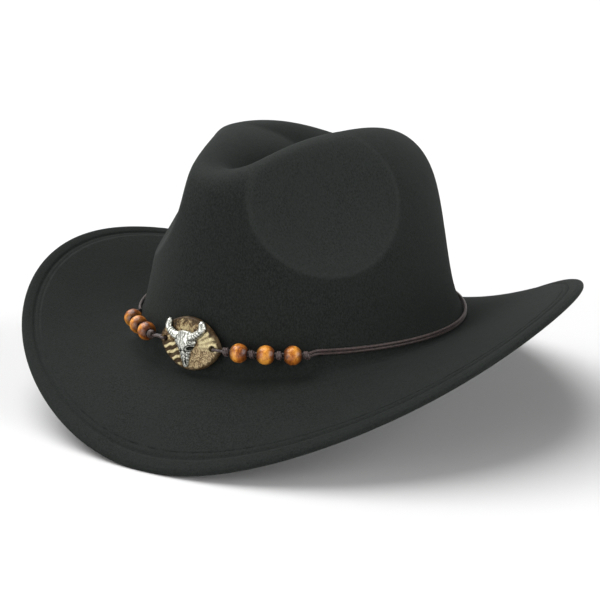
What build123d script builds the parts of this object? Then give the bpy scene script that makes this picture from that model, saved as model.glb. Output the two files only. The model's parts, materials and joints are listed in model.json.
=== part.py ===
from build123d import *
import os
from math import cos, pi, radians, sin, sqrt, tan

import numpy as np

# A felt cowboy hat: one moulded felt shell with a wired, turned-under brim edge, a sweatband
# inside, and a hatband of two knotted cords with six wooden beads and a shell medallion.
# +Z is up, the front is at -Y and the wearer's left at +X. The origin is the centre of the
# head opening, level with the mean height of the break line where crown and brim meet.
# Lengths are in millimetres. A turn is the angle round the hat from its front, in radians,
# growing towards the wearer's left. Tuples of stations run from front to rear.

# Felt
FELT = 1.7  # thickness of the felt
HEAD_WIDTH = 169.6  # head opening inside the felt, side to side
HEAD_LENGTH = 194.0  # head opening inside the felt, front to rear
BREAK_DROP = 4.3  # the break line dips this far at front and rear and rises it at the sides
ROOT_FLARE = 9.7  # how far the crown's foot spreads at the sides
ROOT_FADE = 9.0  # height over which that spread fades

# Crown
CROWN_FRONT = 138.2  # height of the crown's top line above the origin, front to rear
CROWN_FRONT_QUARTER = 128.9
CROWN_MIDDLE = 122.1
CROWN_REAR_QUARTER = 116.9
CROWN_REAR = 112.3
SIDE_LEAN = 22.9  # how far each side wall leans in up to the top
END_LEAN = 8.9  # how far the front and rear walls lean in
TOP_SHIFT = 8.6  # the top sits this far behind the foot
SHOULDER = 7.7  # exponent of the crown's upright profile: higher is squarer
FRONT_PINCH = 0.383  # share of the width lost at the front of the top
CREASE_FRONT = 75.9  # depth of the centre crease, front to rear
CREASE_MIDDLE = 41.9
CREASE_REAR = 27.9
CREASE_WIDTH = 24.5  # half width at which the crease has lost most of its depth
CREASE_FADE = 10.0  # exponent that keeps the crease out of the walls
DENT_DEPTH = 12.5  # depth of the two bowl-shaped side dents
DENT_TURN = 55.1  # degrees round from the front that each is pressed in from
DENT_ACROSS = -10.2  # centre, across the direction it is pressed in
DENT_CENTRE_Z = 82.4
DENT_HALF_LENGTH = 43.2
DENT_HALF_HEIGHT = 35.5
DENT_RIM = 0.15  # how much of the dent its rounded rim takes
DENT_SPREAD = 12.0  # half width about the centre plane where the two dents blend

# Brim
BRIM_FRONT = 53.9  # width of the brim in plan, front to rear
BRIM_FRONT_QUARTER = 60.2
BRIM_SIDE = 67.6
BRIM_REAR_QUARTER = 55.4
BRIM_REAR = 61.0
RISE_FRONT = -34.2  # height of the brim's edge above the break line, each 30 degrees
RISE_30 = -20.7
RISE_60 = 6.6
RISE_SIDE = 28.6
RISE_120 = 18.7
RISE_150 = -9.5
RISE_REAR = -34.0
CURL_ENDS = 1.22  # exponent of the brim's rise at front and rear
CURL_SIDES = 1.02  # and at the sides
HEM = 7.5  # width of the edge that is turned under
HEM_SLOT = 0.1  # gap between the brim and its turned-under edge
STANDING_FLAT = 0.45  # depth of the flats that the edge takes where the hat stands on it
WIRE = 1.2  # diameter of the brim wire
WIRE_GAP = 0.12  # clearance round it

# Sweatband
SWEATBAND = 1.0  # thickness
SWEATBAND_HEIGHT = 30.0
SWEATBAND_LIFT = 3.0  # height of its lower edge above the break line
SWEATBAND_GAP = 0.2  # gap between sweatband and felt
REED = 2.4  # diameter of the reed along its lower edge
SEWN_GAP = 0.05  # gap between pieces that are sewn together

# Hatband
BAND_HEIGHT = 9.8  # height of the band's plane at the crown's axis
BAND_PITCH = 1.1  # degrees that its front is raised
BAND_ROLL = 1.3  # degrees that the wearer's right is raised
BAND_SHIFT = -6.0  # the band has slid this far towards the wearer's right
STRAND = 1.5  # diameter of the cord
STRAND_PITCH = 1.65  # distance between the two strands of a doubled cord
CORD_GAP = 0.7  # gap between the hatband and the felt
KNOT_LENGTH = 4.0
KNOT = 4.2  # diameter of a knot between beads
FIRST_KNOT_LEFT = 24.4  # distance from the medallion's centre to its nearest knot
FIRST_KNOT_RIGHT = 27.0
BEAD = 10.0  # bead diameter
BEAD_BORE = 3.7
BEAD_PLAY = 0.25  # gap between a bead and the knots beside it
RUN = 26.0  # length of the cord's runs round the crown
REAR_KNOT_LENGTH = 8.0
REAR_KNOT_END_RADIUS = 2.2
REAR_KNOT_RADIUS = 3.2
REAR_APPROACH = 5.0  # straight run of the cords beside the rear knot

# Medallion
MEDALLION_LENGTH = 41.0
MEDALLION_HEIGHT = 28.0
MEDALLION_THICKNESS = 3.8  # at its middle
MEDALLION_TIP = 5.0  # radius of its two points
MEDALLION_EDGE = 0.5  # bevel round its front edge
DOME_RADIUS = 110.0  # radius of the domed front
HOLE_SPAN = 32.0  # distance between the cord holes
HOLE = 3.2
MEDALLION_STAND = 1.2  # gap between its back and the crown
LOOP_GAP = 0.4  # gap between the cord's loop and the medallion

# Skull ornament
SKULL_LENGTH = 21.0
SKULL_LIFT = -1.0  # its middle's height above the medallion's middle
BROW_WIDTH = 13.0
BROW_DEPTH = 3.2
HORN_SPAN = 21.0
HORN_RISE = 7.0
HORN_ROOT = 3.4  # diameter of a horn at its root
HORN_TIP = 1.0
HORN_INSET = 1.5  # how far a horn starts inside the brow
STUD = 2.0  # diameter of the stud that holds the skull on the medallion
STUD_GAP = 0.05
SEAT_GAP = 0.02  # gap between the skull and the medallion's face

HALF_WIDTH = HEAD_WIDTH / 2 + FELT
HALF_LENGTH = HEAD_LENGTH / 2 + FELT
FRONT_RADIUS = HALF_WIDTH**2 / HALF_LENGTH  # the foot oval's tightest radius
CROWN_TOPS = (CROWN_FRONT, CROWN_FRONT_QUARTER, CROWN_MIDDLE, CROWN_REAR_QUARTER, CROWN_REAR)
CREASE_DEPTHS = (CREASE_FRONT, CREASE_MIDDLE, CREASE_REAR)
RISES = (RISE_FRONT, RISE_30, RISE_60, RISE_SIDE, RISE_120, RISE_150, RISE_REAR)
BRIM_WIDTHS = (BRIM_FRONT, BRIM_FRONT_QUARTER, BRIM_SIDE, BRIM_REAR_QUARTER, BRIM_REAR)
LEVEL_RATE = (pi / 2) ** (2 / SHOULDER)  # level gained for each unit of climb up the wall
HEM_DEPTH = 2 * FELT + HEM_SLOT  # thickness of the folded edge

# Rings of the loft. A climb runs from 0 at the break line to 1 at the middle of the top.
RING_POINTS = 24
OUTER_CLIMBS = (0.03, 0.08, 0.17, 0.3, 0.45, 0.58, 0.69, 0.77, 0.83, 0.88, 0.92, 0.955, 0.985)
INNER_CLIMBS = (0.38, 0.54, 0.67, 0.77, 0.84, 0.9, 0.95, 0.985)  # above the sweatband
BRIM_OUTS = (0.03, 0.12, 0.3, 0.5, 0.7)  # share of the brim's width
STEP = 1e-3  # step for slopes


def around(stations, turn):
    """The smooth curve round the hat, equal on both sides, through evenly spaced stations."""
    orders = np.arange(len(stations))
    at = np.linspace(0, pi, len(stations))
    weights = np.linalg.solve(np.cos(np.outer(at, orders)), np.array(stations, float))
    return np.cos(np.multiply.outer(turn, orders)) @ weights


def along(stations, y):
    """The polynomial from front to rear through evenly spaced stations."""
    at = np.linspace(-1, 1, len(stations))
    return np.polyval(np.polyfit(at, stations, len(stations) - 1), y / HALF_LENGTH)


def unit(vectors):
    return vectors / np.linalg.norm(vectors, axis=-1, keepdims=True)


def foot(turn):
    """The foot oval and its outward direction in plan."""
    x, y = np.sin(turn), -np.cos(turn)
    length = np.hypot(x / HALF_WIDTH, y / HALF_LENGTH)
    away = (x / HALF_WIDTH / length, y / HALF_LENGTH / length)
    return (HALF_WIDTH * x, HALF_LENGTH * y), away


def flare(turn):
    return around((0, ROOT_FLARE, 0), turn)


def break_height(turn):
    return around((-BREAK_DROP, BREAK_DROP, -BREAK_DROP), turn)


def crown_point(turn, climb):
    """The crown's outer surface."""
    turn, climb = np.broadcast_arrays(np.asarray(turn, float), np.asarray(climb, float))
    roll = pi / 2 * climb ** (SHOULDER / 2)
    level = np.sin(roll) ** (2 / SHOULDER)
    spread = np.cos(roll)
    x = (HALF_WIDTH - SIDE_LEAN * level) * spread * np.sin(turn)
    y = TOP_SHIFT * level - (HALF_LENGTH - END_LEAN * level) * spread * np.cos(turn)
    ahead = np.clip((1 - y / HALF_LENGTH) / 2, 0, 1.2)
    x = x * (1 - FRONT_PINCH * (level * ahead) ** 2)
    away = foot(turn)[1]
    spreading = flare(turn) * np.exp(-level * CROWN_MIDDLE / ROOT_FADE)
    x = x + away[0] * spreading
    y = y + away[1] * spreading
    z = break_height(turn) * (1 - level) + along(CROWN_TOPS, y) * level
    z = z - along(CREASE_DEPTHS, y) * np.exp(-((x / CREASE_WIDTH) ** 2)) * level**CREASE_FADE
    inwards, across = sin(radians(DENT_TURN)), cos(radians(DENT_TURN))
    reach_across = (np.abs(x) * across + y * inwards - DENT_ACROSS) / DENT_HALF_LENGTH
    reach_up = (z - DENT_CENTRE_Z) / DENT_HALF_HEIGHT
    inside = 1 - reach_across**2 - reach_up**2
    dent = DENT_DEPTH * (inside + np.sqrt(inside**2 + DENT_RIM**2)) / 2
    side = np.tanh(x / DENT_SPREAD)
    x = x - side * inwards * dent
    y = y + np.abs(side) * across * dent
    return np.stack([x, y, z], -1)


def brim_point(turn, out):
    """The brim's upper surface: out is 0 at the break line and 1 at the edge."""
    turn, out = np.broadcast_arrays(np.asarray(turn, float), np.asarray(out, float))
    (x, y), away = foot(turn)
    reach = around(BRIM_WIDTHS, turn) * out + flare(turn)
    curl = around((CURL_ENDS, CURL_SIDES, CURL_ENDS), turn)
    z = break_height(turn) + around(RISES, turn) * np.maximum(out, 0) ** curl
    return np.stack([x + away[0] * reach, y + away[1] * reach, z], -1)


def normal(surface, turn, place):
    """Unit normal: out of the crown, or down out of the brim."""
    round_hat = surface(turn + STEP, place) - surface(turn - STEP, place)
    up_profile = surface(turn, place + STEP) - surface(turn, place - STEP)
    return unit(np.cross(round_hat, up_profile))


def crown_skin(turn, climb, depth):
    """The crown's surface, a depth inside the felt."""
    return crown_point(turn, climb) - depth * normal(crown_point, turn, climb)


def brim_skin(turn, out, depth):
    """The brim's surface, a depth below its top."""
    return brim_point(turn, out) + depth * normal(brim_point, turn, out)


def break_skin(turn, depth):
    """The corner between crown and brim, a depth inside the felt."""
    wall = normal(crown_point, turn, 0.02)
    middle = unit(wall - normal(brim_point, turn, 0.02))
    miter = depth / np.sum(wall * middle, -1, keepdims=True)
    return brim_point(turn, 0.0) - miter * middle


def inboard(turn, distance):
    """The place on the brim at a distance inside its edge."""
    return 1 - distance / around(BRIM_WIDTHS, turn)


def fold_skin(turn, radius, angle):
    """Round the core of the folded edge: 0 degrees points out of the hat, 90 up."""
    place = inboard(turn, HEM_DEPTH / 2)
    down = normal(brim_point, turn, place)
    out = unit(brim_point(turn, place + STEP) - brim_point(turn, place - STEP))
    core = brim_point(turn, place) + HEM_DEPTH / 2 * down
    return core + radius * (cos(radians(angle)) * out - sin(radians(angle)) * down)


def ring(points):
    return Wire([Edge.make_spline([Vector(*point) for point in points], periodic=True)])


def ring_turns():
    return np.linspace(0, 2 * pi, RING_POINTS, endpoint=False)


def top_point(depth):
    """The middle of the crease, a depth inside the felt."""
    x, y, z = crown_point(0.0, 1.0)
    return Vertex(x, y, z - depth)


def wall_climb(height):
    """The climb at a height above the break line, low on the wall."""
    return height / CROWN_MIDDLE / LEVEL_RATE


def sweatband_climbs():
    """Climbs of the sweatband's rings, shared with the felt behind it."""
    heights = np.linspace(0, SWEATBAND_HEIGHT, 5) + SWEATBAND_LIFT
    return [wall_climb(height) for height in heights]


def table_plane(fold):
    """A little above the lowest points of the folded edge at its front and rear."""
    front = Vector(*min((points[0] for points in fold), key=lambda point: point[2]))
    rear = Vector(*min((points[RING_POINTS // 2] for points in fold), key=lambda point: point[2]))
    up = Vector(1, 0, 0).cross(rear - front).normalized()
    return Plane(origin=front + up * STANDING_FLAT, x_dir=(1, 0, 0), z_dir=up)


def felt_body():
    """Crown and brim: a loft down the outside, round the folded edge and up the inside."""
    turns = ring_turns()
    outside = [crown_skin(turns, climb, 0) for climb in reversed(OUTER_CLIMBS)]
    outside += [break_skin(turns, 0)]
    outside += [brim_skin(turns, out, 0) for out in BRIM_OUTS]
    outside += [brim_skin(turns, inboard(turns, HEM), 0)]
    fold = [fold_skin(turns, HEM_DEPTH / 2, angle) for angle in (90, 30, -30, -90)]
    hem = [brim_skin(turns, inboard(turns, HEM), depth) for depth in (HEM_DEPTH, FELT + HEM_SLOT)]
    tunnel_radius = WIRE / 2 + WIRE_GAP
    tunnel = [fold_skin(turns, tunnel_radius, angle) for angle in np.linspace(-165, 165, 7)]
    inside = [brim_skin(turns, inboard(turns, HEM), FELT)]
    inside += [brim_skin(turns, out, FELT) for out in reversed(BRIM_OUTS)]
    inside += [break_skin(turns, FELT)]
    inside += [crown_skin(turns, climb, FELT) for climb in sweatband_climbs()]
    inside += [crown_skin(turns, climb, FELT) for climb in INNER_CLIMBS]
    wires = [ring(points) for points in outside + fold + hem + tunnel + inside]
    felt = Solid.make_loft([top_point(0), *wires, top_point(FELT)], ruled=True)
    return split(felt, bisect_by=table_plane(fold), keep=Keep.TOP)


def closed_loop(rings):
    """A closed tube or strip round the hat, from the rings along its section."""
    wires = [ring(points) for points in rings]
    return Solid.make_loft([*wires, wires[0]], ruled=True)


def brim_wire():
    """Spring wire loop in the folded edge."""
    turns = ring_turns()
    return closed_loop([fold_skin(turns, WIRE / 2, angle) for angle in range(0, 360, 60)])


def sweatband():
    """Band that lines the head opening."""
    turns = ring_turns()
    climbs = sweatband_climbs()
    outer = FELT + SWEATBAND_GAP
    faces = [crown_skin(turns, climb, outer) for climb in climbs]
    faces += [crown_skin(turns, climb, outer + SWEATBAND) for climb in reversed(climbs)]
    return closed_loop(faces)


def sweatband_reed():
    """Round piping along the sweatband's sewn edge."""
    turns = ring_turns()
    edge = crown_skin(turns, wall_climb(SWEATBAND_LIFT), FELT + SWEATBAND_GAP + REED / 2)
    away = np.stack([*foot(turns)[1], np.zeros(RING_POINTS)], -1)
    middle = edge - np.array([0, 0, REED / 2 + SEWN_GAP])
    up = np.array([0, 0, 1])
    angles = [radians(angle) for angle in range(0, 360, 60)]
    return closed_loop([middle + REED / 2 * (cos(a) * away + sin(a) * up) for a in angles])


# The hatband lies in a tilted plane round the crown. A reach is the distance along it from
# the medallion's middle, positive towards the wearer's left.


def band_level(x, y):
    return BAND_HEIGHT - tan(radians(BAND_PITCH)) * y - tan(radians(BAND_ROLL)) * x


def wall_point(turn, stand):
    """The point of the band's plane that stands off the crown's wall at the lower strand."""
    climb = np.full(np.shape(turn), wall_climb(BAND_HEIGHT))
    for _ in range(12):
        point = crown_point(turn, climb)
        short = band_level(point[..., 0], point[..., 1]) - STRAND_PITCH / 2 - point[..., 2]
        climb = climb + wall_climb(short)
    away = np.stack([*foot(turn)[1], np.zeros(np.shape(turn))], -1)
    point = point + stand * away
    point[..., 2] = band_level(point[..., 0], point[..., 1])
    return point


BEAD_STAND = BEAD / 2 + CORD_GAP
BORED_HALF_LENGTH = sqrt((BEAD / 2) ** 2 - (BEAD_BORE / 2) ** 2)
KNOT_PITCH = KNOT_LENGTH + 2 * BEAD_PLAY + 2 * BORED_HALF_LENGTH
BAND_TURNS = np.linspace(-1.5 * pi, 1.5 * pi, 721)
BAND_LINE = wall_point(BAND_TURNS, BEAD_STAND)
BAND_STEPS = np.linalg.norm(np.diff(BAND_LINE, axis=0), axis=1)
BAND_LENGTHS = np.concatenate([[0], np.cumsum(BAND_STEPS)])
BAND_LENGTHS = BAND_LENGTHS - np.interp(0, BAND_TURNS, BAND_LENGTHS)
LOOP_LENGTH = np.interp(pi, BAND_TURNS, BAND_LENGTHS) * 2


def band_turn(reach):
    return float(np.interp(reach + BAND_SHIFT, BAND_LENGTHS, BAND_TURNS))


def band_point(reach, stand):
    return Vector(*wall_point(band_turn(reach), stand))


def band_tangent(reach):
    return (band_point(reach + 0.5, 0) - band_point(reach - 0.5, 0)).normalized()


def medallion_plane():
    """Middle of the medallion's back face: X along the band, Z out of the hat."""
    turn = np.array(band_turn(0))
    climb = wall_climb(BAND_HEIGHT - break_height(turn))
    out = Vector(*normal(crown_point, turn, climb + 0.1))
    middle = band_point(0, 0) + out * MEDALLION_STAND
    return Plane(origin=middle, x_dir=band_tangent(0), z_dir=out)


def dome(x, y=0.0):
    """Height of the medallion's domed front above its back."""
    return MEDALLION_THICKNESS - DOME_RADIUS + sqrt(DOME_RADIUS**2 - x**2 - y**2)


def medallion_outline():
    """A pointed oval of two arcs, with its points rounded."""
    half_height = MEDALLION_HEIGHT / 2
    tip_middle = MEDALLION_LENGTH / 2 - MEDALLION_TIP
    span = tip_middle**2 + half_height**2 - MEDALLION_TIP**2
    arc_radius = span / (2 * (half_height - MEDALLION_TIP))
    half_length = sqrt(arc_radius**2 - (arc_radius - half_height) ** 2)
    top, bottom = (0, half_height), (0, -half_height)
    left, right = (-half_length, 0), (half_length, 0)
    upper = ThreePointArc(right, top, left)
    lower = ThreePointArc(left, bottom, right)
    outline = make_face([upper, lower])
    return fillet(outline.vertices(), MEDALLION_TIP)


def medallion():
    """Domed shell disc with two cord holes and a hole for the skull's stud."""
    blank = extrude(medallion_outline(), MEDALLION_THICKNESS)
    ball = Pos(0, 0, MEDALLION_THICKNESS - DOME_RADIUS) * Sphere(DOME_RADIUS)
    disc = blank & ball
    front_edges = disc.faces().sort_by(Axis.Z)[-1].edges()
    disc = chamfer(front_edges, MEDALLION_EDGE)
    for x in (-HOLE_SPAN / 2, HOLE_SPAN / 2):
        disc -= Pos(x, 0, MEDALLION_THICKNESS / 2) * Cylinder(HOLE / 2, 2 * MEDALLION_THICKNESS)
    disc -= Cylinder(STUD / 2 + STUD_GAP, 4 * MEDALLION_THICKNESS)
    return medallion_plane() * disc


def horn(side):
    """One horn: out from the brow, then curving up to its tip."""
    brow_y = SKULL_LIFT + SKULL_LENGTH / 2 - HORN_ROOT / 2
    root_x, tip_x = BROW_WIDTH / 2 - HORN_INSET, HORN_SPAN / 2 - HORN_TIP / 2
    lift = dome(0) + BROW_DEPTH / 2
    path = ThreePointArc(
        (side * root_x, brow_y, lift),
        (side * (root_x + 0.85 * (tip_x - root_x)), brow_y + 0.3 * HORN_RISE, lift),
        (side * tip_x, brow_y + HORN_RISE, lift),
    )
    sections = []
    for share in np.linspace(0, 1, 5):
        radius = (HORN_ROOT * (1 - share) + HORN_TIP * share) / 2
        sections.append(Plane(origin=path @ share, z_dir=path % share) * Circle(radius))
    return loft(sections)


def skull_head():
    """The head: half-round sections from the poll down to the muzzle."""
    shape = (  # share of the length from the top, share of the width, share of the depth
        (0.0, 0.62, 0.6),
        (0.12, 0.8, 0.9),
        (0.28, 1.0, 1.0),
        (0.42, 0.78, 0.95),
        (0.6, 0.5, 0.8),
        (0.82, 0.42, 0.7),
        (1.0, 0.3, 0.45),
    )
    sections = []
    for share, width, depth in shape:
        y = SKULL_LIFT + SKULL_LENGTH * (0.5 - share)
        oval = Ellipse(width * BROW_WIDTH / 2, depth * BROW_DEPTH)
        sections.append(Plane(origin=(0, y, dome(0)), x_dir=(1, 0, 0), z_dir=(0, -1, 0)) * oval)
    return loft(sections)


def skull():
    """Steer skull ornament with eye sockets, a nose slot and a stud through the medallion."""
    head = skull_head() + horn(1) + horn(-1)
    eye_y = SKULL_LIFT + SKULL_LENGTH * 0.18
    eye_z = dome(0) + BROW_DEPTH
    for side in (-1, 1):
        socket = Pos(side * BROW_WIDTH * 0.3, eye_y, eye_z) * Sphere(BROW_WIDTH * 0.12)
        head -= socket
    nose = Pos(0, SKULL_LIFT - SKULL_LENGTH * 0.4, eye_z) * Box(1.0, SKULL_LENGTH * 0.14, BROW_DEPTH)
    head -= nose
    head -= Pos(0, 0, MEDALLION_THICKNESS + SEAT_GAP - DOME_RADIUS) * Sphere(DOME_RADIUS)
    stud_length = MEDALLION_THICKNESS + SEAT_GAP + BROW_DEPTH / 2
    head += Pos(0, 0, stud_length / 2) * Cylinder(STUD / 2, stud_length)
    return medallion_plane() * head


def knot_points(side, first_knot):
    """Centres of the four knots on one cord, with a bead between each two."""
    plane = medallion_plane()
    start = plane.origin + plane.x_dir * side * first_knot + plane.z_dir * dome(0) / 2
    stand = BEAD_STAND + KNOT_PITCH**2 / (8 * FRONT_RADIUS)
    reaches = [side * (first_knot + KNOT_PITCH * count) for count in range(4)]
    return [start, *[band_point(reach, stand) for reach in reaches[1:]]]


def rear_knot_frame():
    """Centre of the rear knot, and its direction towards the wearer's left."""
    reach = LOOP_LENGTH / 2
    return band_point(reach, REAR_KNOT_RADIUS + CORD_GAP), -band_tangent(reach)


def cord_route(side, first_knot):
    """Corner points of one cord from its first knot to the rear knot."""
    points = knot_points(side, first_knot)
    rear, tangent = rear_knot_frame()
    start = first_knot + 3 * KNOT_PITCH
    stop = LOOP_LENGTH / 2 - REAR_KNOT_LENGTH / 2 - REAR_APPROACH
    count = round((stop - start) / RUN)
    run = (stop - start) / count
    stand = STRAND / 2 + CORD_GAP + run**2 / (8 * FRONT_RADIUS)
    points += [band_point(side * (start + run * step), stand) for step in range(1, count)]
    points += [rear + tangent * side * (REAR_KNOT_LENGTH / 2 + REAR_APPROACH)]
    return points + [rear + tangent * side * REAR_KNOT_LENGTH / 2]


def strand(points):
    """Cord along straight runs."""
    path = Polyline(*points)
    section = Plane(origin=path @ 0, z_dir=path % 0) * Circle(STRAND / 2)
    return sweep(section, path, transition=Transition.RIGHT)


def loop(side, first_knot):
    """The cord's loop through the medallion's hole, in front of its rim and behind it."""
    plane = medallion_plane()
    edge = MEDALLION_LENGTH / 2 + STRAND / 2
    clear = LOOP_GAP + STRAND / 2
    hole = HOLE_SPAN / 2
    knot_z = dome(0) / 2
    front = [(first_knot, knot_z + STRAND_PITCH / 2), (edge, dome(edge) + clear)]
    front += [(hole, dome(hole) + clear)]
    back = [(hole, -clear), (edge, -clear), (first_knot, knot_z - STRAND_PITCH / 2)]
    points = [plane.from_local_coords(Vector(side * x, 0, z)) for x, z in front + back]
    return strand(points)


def cord(side, first_knot):
    """One doubled cord: its loop, two strands and four knots."""
    route = cord_route(side, first_knot)
    rise = Vector(0, 0, STRAND_PITCH / 2)
    pieces = [strand([point + offset for point in route]) for offset in (rise, -rise)]
    knots = knot_points(side, first_knot)
    for index, knot in enumerate(knots):
        before = knots[index - 1] if index else knot - (knots[1] - knot)
        direction = route[index + 1] - before
        pieces.append(Plane(origin=knot, z_dir=direction) * Cylinder(KNOT / 2, KNOT_LENGTH))
    return Part() + [*pieces, loop(side, first_knot)]


def rear_knot():
    """The knot that ties both cords together: thickest in the middle, with flat ends."""
    end, thick, half = REAR_KNOT_END_RADIUS, REAR_KNOT_RADIUS, REAR_KNOT_LENGTH / 2
    side = ThreePointArc((end, -half), (thick, 0), (end, half))
    ends = Polyline((end, half), (0, half), (0, -half), (end, -half))
    profile = Plane.XZ * make_face([side, ends])
    middle, direction = rear_knot_frame()
    return Plane(origin=middle, z_dir=direction) * revolve(profile, Axis.Z)


def bead(side, first_knot, index):
    """Turned wooden bead on the straight run between two knots."""
    knots = knot_points(side, first_knot)
    middle = (knots[index] + knots[index + 1]) / 2
    solid = Sphere(BEAD / 2) - Cylinder(BEAD_BORE / 2, 2 * BEAD)
    return Plane(origin=middle, z_dir=knots[index + 1] - knots[index]) * solid


def parts():
    """Every node of the hat, by name."""
    nodes = {
        "felt_body": felt_body(),
        "brim_wire": brim_wire(),
        "sweatband": sweatband(),
        "sweatband_reed": sweatband_reed(),
        "medallion": medallion(),
        "steer_skull": skull(),
        "rear_knot": rear_knot(),
    }
    for name, side, first_knot in (("left", 1, FIRST_KNOT_LEFT), ("right", -1, FIRST_KNOT_RIGHT)):
        nodes[name + "_cord"] = cord(side, first_knot)
        for index in range(3):
            nodes[f"{name}_bead_{index + 1}"] = bead(side, first_knot, index)
    return nodes


os.makedirs("parts", exist_ok=True)
for node, shape in parts().items():
    export_step(shape, f"parts/{node}.step")
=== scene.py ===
import json
from math import cos, degrees, pi, radians, sin, sqrt, tan

import bpy
import numpy as np
from mathutils import Matrix, Vector
from mathutils.geometry import delaunay_2d_cdt


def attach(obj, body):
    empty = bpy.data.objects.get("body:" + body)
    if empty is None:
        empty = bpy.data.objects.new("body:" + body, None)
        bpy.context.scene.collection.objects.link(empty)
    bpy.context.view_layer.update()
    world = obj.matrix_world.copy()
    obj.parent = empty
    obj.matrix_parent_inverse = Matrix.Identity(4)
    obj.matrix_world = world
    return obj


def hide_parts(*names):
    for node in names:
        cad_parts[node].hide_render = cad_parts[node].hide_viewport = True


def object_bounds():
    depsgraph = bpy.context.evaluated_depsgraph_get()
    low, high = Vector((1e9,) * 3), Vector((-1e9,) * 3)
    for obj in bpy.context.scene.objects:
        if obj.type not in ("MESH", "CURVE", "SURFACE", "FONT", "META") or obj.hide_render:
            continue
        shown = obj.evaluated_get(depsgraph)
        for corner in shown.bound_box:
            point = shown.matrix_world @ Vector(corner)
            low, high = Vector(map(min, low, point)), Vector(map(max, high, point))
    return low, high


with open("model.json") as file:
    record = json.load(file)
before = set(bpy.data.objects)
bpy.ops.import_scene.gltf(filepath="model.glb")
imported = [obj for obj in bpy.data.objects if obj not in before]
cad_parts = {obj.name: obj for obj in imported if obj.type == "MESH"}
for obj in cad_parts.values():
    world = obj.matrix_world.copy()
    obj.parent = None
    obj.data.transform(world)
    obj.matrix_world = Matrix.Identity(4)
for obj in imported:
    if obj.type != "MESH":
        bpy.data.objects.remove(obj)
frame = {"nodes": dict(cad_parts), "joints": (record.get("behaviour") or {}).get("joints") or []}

# The looks of the felt cowboy hat. Shapes are worked out in millimetres in the part's own
# frame (front at -Y, wearer's left at +X) and turned into metres when a mesh is made.

MM = 0.001
cad_low, cad_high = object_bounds()

# Camera, at the photograph's viewing angle
CAMERA_TURN = radians(32.444)  # round the hat from its front towards the wearer's left
CAMERA_RISE = radians(15.583)
CAMERA_ROLL = radians(-1.268)
CAMERA_DISTANCE = 815.9
CAMERA_AIM = (-0.35, 11.25)  # right of and above the origin, as the camera sees it
LENS = 84.58
SENSOR = 36.0

# Felt: the part's sizes, a little closer where the brim rises and the crown is pressed
FELT = 1.7
HEAD_WIDTH = 169.6
HEAD_LENGTH = 194.0
BREAK_DROP = 4.3
ROOT_FLARE = 9.7
ROOT_FADE = 9.0
CROWN_TOPS = (139.4, 129.0, 122.1, 116.9, 112.3)
CROWN_MIDDLE = 122.1
SIDE_LEAN = 22.3
END_LEAN = 8.9
TOP_SHIFT = 8.6
SHOULDER = 7.7
FRONT_PINCH = 0.383
CREASE_DEPTHS = (75.9, 41.9, 27.9)
CREASE_WIDTH = 24.5
CREASE_FADE = 10.0
DENT_DEPTH = 13.5
DENT_TURN = radians(55.1)
DENT_ACROSS = -10.2
DENT_CENTRE_Z = 82.4
DENT_HALF_LENGTH = 43.2
DENT_HALF_HEIGHT = 35.5
DENT_SPREAD = 12.0
DENT_RIM = 0.09
BRIM_WIDTHS = (53.9, 60.2, 67.6, 55.4, 61.0)
RISES = (-34.2, -20.7, 7.3, 29.6, 20.2, -9.2, -34.0)
CURL_ENDS = 1.22
CURL_SIDES = 1.02
HEM = 7.5
HEM_DEPTH = 3.5
WIRE = 1.2
SWEATBAND = 1.0
SWEATBAND_HEIGHT = 30.0
SWEATBAND_LIFT = 3.0
SWEATBAND_GAP = 0.2

# Hatband, as in the part
BAND_HEIGHT = 9.8
BAND_PITCH = 1.1
BAND_ROLL = 1.3
BAND_SHIFT = -6.0
STRAND = 1.5
STRAND_PITCH = 1.65
CORD_GAP = 0.7
BEAD = 10.0
BEAD_BORE = 3.7
BEAD_PLAY = 0.25
KNOT_LENGTH = 4.0
KNOT_CORE = 0.35
KNOT_SWELL = 1.3
KNOT_LEAN = 0.35
SIDES = {1: "left", -1: "right"}
FIRST_KNOT = {1: 24.4, -1: 27.0}
REAR_KNOT_LENGTH = 8.0
REAR_KNOT_SWELL = 1.25
MEDALLION_LENGTH = 41.0
MEDALLION_HEIGHT = 28.0
MEDALLION_THICKNESS = 3.8
MEDALLION_TIP = 5.0
DOME_RADIUS = 110.0
HOLE_SPAN = 32.0
HOLE = 3.2
HOLE_PLACES = (-HOLE_SPAN / 2, HOLE_SPAN / 2)

HALF_WIDTH = HEAD_WIDTH / 2 + FELT
HALF_LENGTH = HEAD_LENGTH / 2 + FELT
STEP = 1e-3


# ---- shapes of the felt, in mm


def around(stations, turn):
    """The smooth curve round the hat, equal on both sides, through evenly spaced stations."""
    orders = np.arange(len(stations))
    at = np.linspace(0, pi, len(stations))
    weights = np.linalg.solve(np.cos(np.outer(at, orders)), np.array(stations, float))
    return np.cos(np.multiply.outer(turn, orders)) @ weights


def along(stations, y):
    """The polynomial from front to rear through evenly spaced stations."""
    at = np.linspace(-1, 1, len(stations))
    return np.polyval(np.polyfit(at, stations, len(stations) - 1), y / HALF_LENGTH)


def smooth_step(low, high, value):
    share = np.clip((value - low) / (high - low), 0, 1)
    return share * share * (3 - 2 * share)


def unit(vectors):
    return vectors / np.linalg.norm(vectors, axis=-1, keepdims=True)


def foot(turn):
    """The foot oval and its outward direction in plan."""
    x, y = np.sin(turn), -np.cos(turn)
    length = np.hypot(x / HALF_WIDTH, y / HALF_LENGTH)
    away = (x / HALF_WIDTH / length, y / HALF_LENGTH / length)
    return (HALF_WIDTH * x, HALF_LENGTH * y), away


def flare(turn):
    return around((0, ROOT_FLARE, 0), turn)


def break_height(turn):
    return around((-BREAK_DROP, BREAK_DROP, -BREAK_DROP), turn)


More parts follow.
